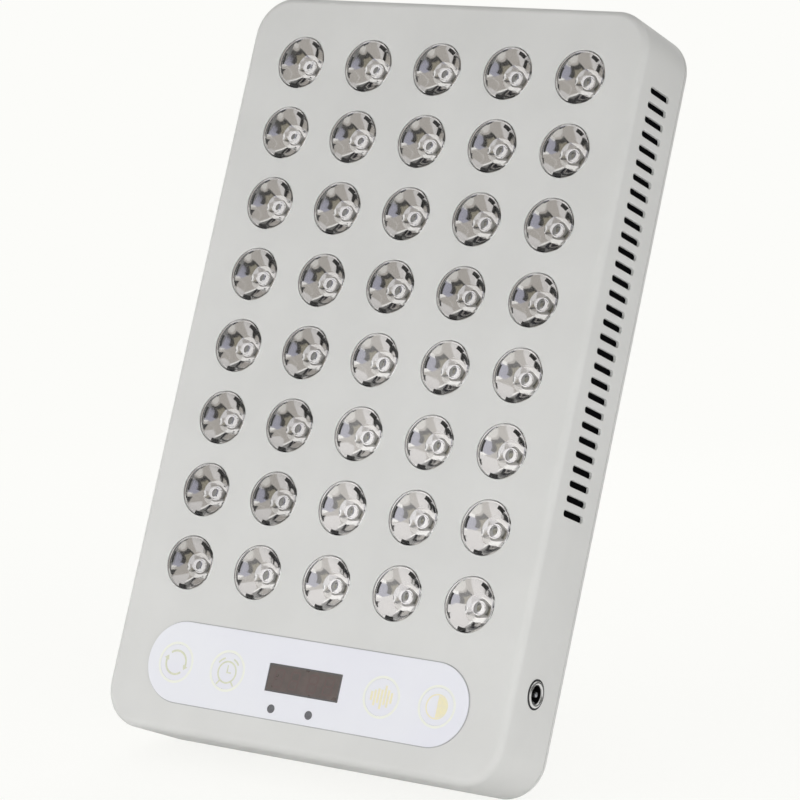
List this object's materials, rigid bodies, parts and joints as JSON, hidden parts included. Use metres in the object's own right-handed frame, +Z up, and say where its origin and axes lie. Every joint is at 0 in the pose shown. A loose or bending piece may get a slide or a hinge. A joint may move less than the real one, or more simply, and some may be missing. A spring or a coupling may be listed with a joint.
{
  "type": "led light therapy panel",
  "caption": "Tabletop light therapy panel: a grid of lensed lamps in a white sheet-metal case with a control strip, side vents, a low-voltage socket and a folding rear stand.",
  "frame": {"origin": "on the table, under the centre of the bounding box of the whole part as it stands open on its rear stand", "axes": "+X to the right as seen from in front of the lamps, +Y to the back, +Z up; the panel's face looks along -Y and leans back 22.4 degrees"},
  "size_m": [0.181, 0.1442, 0.2866],
  "materials": {
    "powder_coat": "fine satin powder coat",
    "clear_lens": "clear polished acrylic",
    "gloss_overlay": "gloss film",
    "gloss_key": "gloss film with a printed pictogram",
    "smoked_window": "smoked, satin",
    "green_board": "solder mask",
    "white_board": "white solder mask on aluminium core",
    "bare_aluminium": "extruded",
    "black_plastic": "moulded",
    "chrome_bezel": "polished",
    "plated_steel": "zinc plated",
    "black_rubber": "matt"
  },
  "bodies": {
    "panel": {"front_housing": "powder_coat", "rear_cover": "powder_coat", "control_overlay": "gloss_overlay", "display_module": "smoked_window", "control_board": "green_board", "led_board": "white_board", "heatsink": "bare_aluminium", "fan_frame": "black_plastic", "driver_board": "green_board", "dc_jack": "chrome_bezel", "dc_jack_nut": "plated_steel", "stand_bracket": "powder_coat", "stand_pin": "plated_steel", "lens_r1_c1": "clear_lens", "lens_r1_c2": "clear_lens", "lens_r1_c3": "clear_lens", "lens_r1_c4": "clear_lens", "lens_r1_c5": "clear_lens", "lens_r2_c1": "clear_lens", "lens_r2_c2": "clear_lens", "lens_r2_c3": "clear_lens", "lens_r2_c4": "clear_lens", "lens_r2_c5": "clear_lens", "lens_r3_c1": "clear_lens", "lens_r3_c2": "clear_lens", "lens_r3_c3": "clear_lens", "lens_r3_c4": "clear_lens", "lens_r3_c5": "clear_lens", "lens_r4_c1": "clear_lens", "lens_r4_c2": "clear_lens", "lens_r4_c3": "clear_lens", "lens_r4_c4": "clear_lens", "lens_r4_c5": "clear_lens", "lens_r5_c1": "clear_lens", "lens_r5_c2": "clear_lens", "lens_r5_c3": "clear_lens", "lens_r5_c4": "clear_lens", "lens_r5_c5": "clear_lens", "lens_r6_c1": "clear_lens", "lens_r6_c2": "clear_lens", "lens_r6_c3": "clear_lens", "lens_r6_c4": "clear_lens", "lens_r6_c5": "clear_lens", "lens_r7_c1": "clear_lens", "lens_r7_c2": "clear_lens", "lens_r7_c3": "clear_lens", "lens_r7_c4": "clear_lens", "lens_r7_c5": "clear_lens", "lens_r8_c1": "clear_lens", "lens_r8_c2": "clear_lens", "lens_r8_c3": "clear_lens", "lens_r8_c4": "clear_lens", "lens_r8_c5": "clear_lens"},
    "stand": {"stand_leg": "powder_coat", "stand_foot": "black_rubber"},
    "fan_wheel": {"fan_rotor": "black_plastic"},
    "mode_button": {"key_mode": "gloss_key"},
    "timer_button": {"key_timer": "gloss_key"},
    "pulse_button": {"key_pulse": "gloss_key"},
    "brightness_button": {"key_brightness": "gloss_key"}
  },
  "joints": [
    {"name": "stand_fold", "type": "hinge", "parent": "panel", "child": "stand", "pos_m": [-0.0005, 0.02639, 0.14503], "axis": [1, 0, 0], "range_deg": [-35.19, 0]},
    {"name": "fan_spin", "type": "hinge", "parent": "panel", "child": "fan_wheel", "pos_m": [-0.0005, 0.03455, 0.20116], "axis": [0, 0.9245, -0.3811], "continuous": true},
    {"name": "mode_press", "type": "slide", "parent": "panel", "child": "mode_button", "axis": [0, 0.9245, -0.3811], "range_m": [0, 0.0004], "stiffness_N_per_m": 3000},
    {"name": "timer_press", "type": "slide", "parent": "panel", "child": "timer_button", "axis": [0, 0.9245, -0.3811], "range_m": [0, 0.0004], "stiffness_N_per_m": 3000},
    {"name": "pulse_press", "type": "slide", "parent": "panel", "child": "pulse_button", "axis": [0, 0.9245, -0.3811], "range_m": [0, 0.0004], "stiffness_N_per_m": 3000},
    {"name": "brightness_press", "type": "slide", "parent": "panel", "child": "brightness_button", "axis": [0, 0.9245, -0.3811], "range_m": [0, 0.0004], "stiffness_N_per_m": 3000}
  ]
}
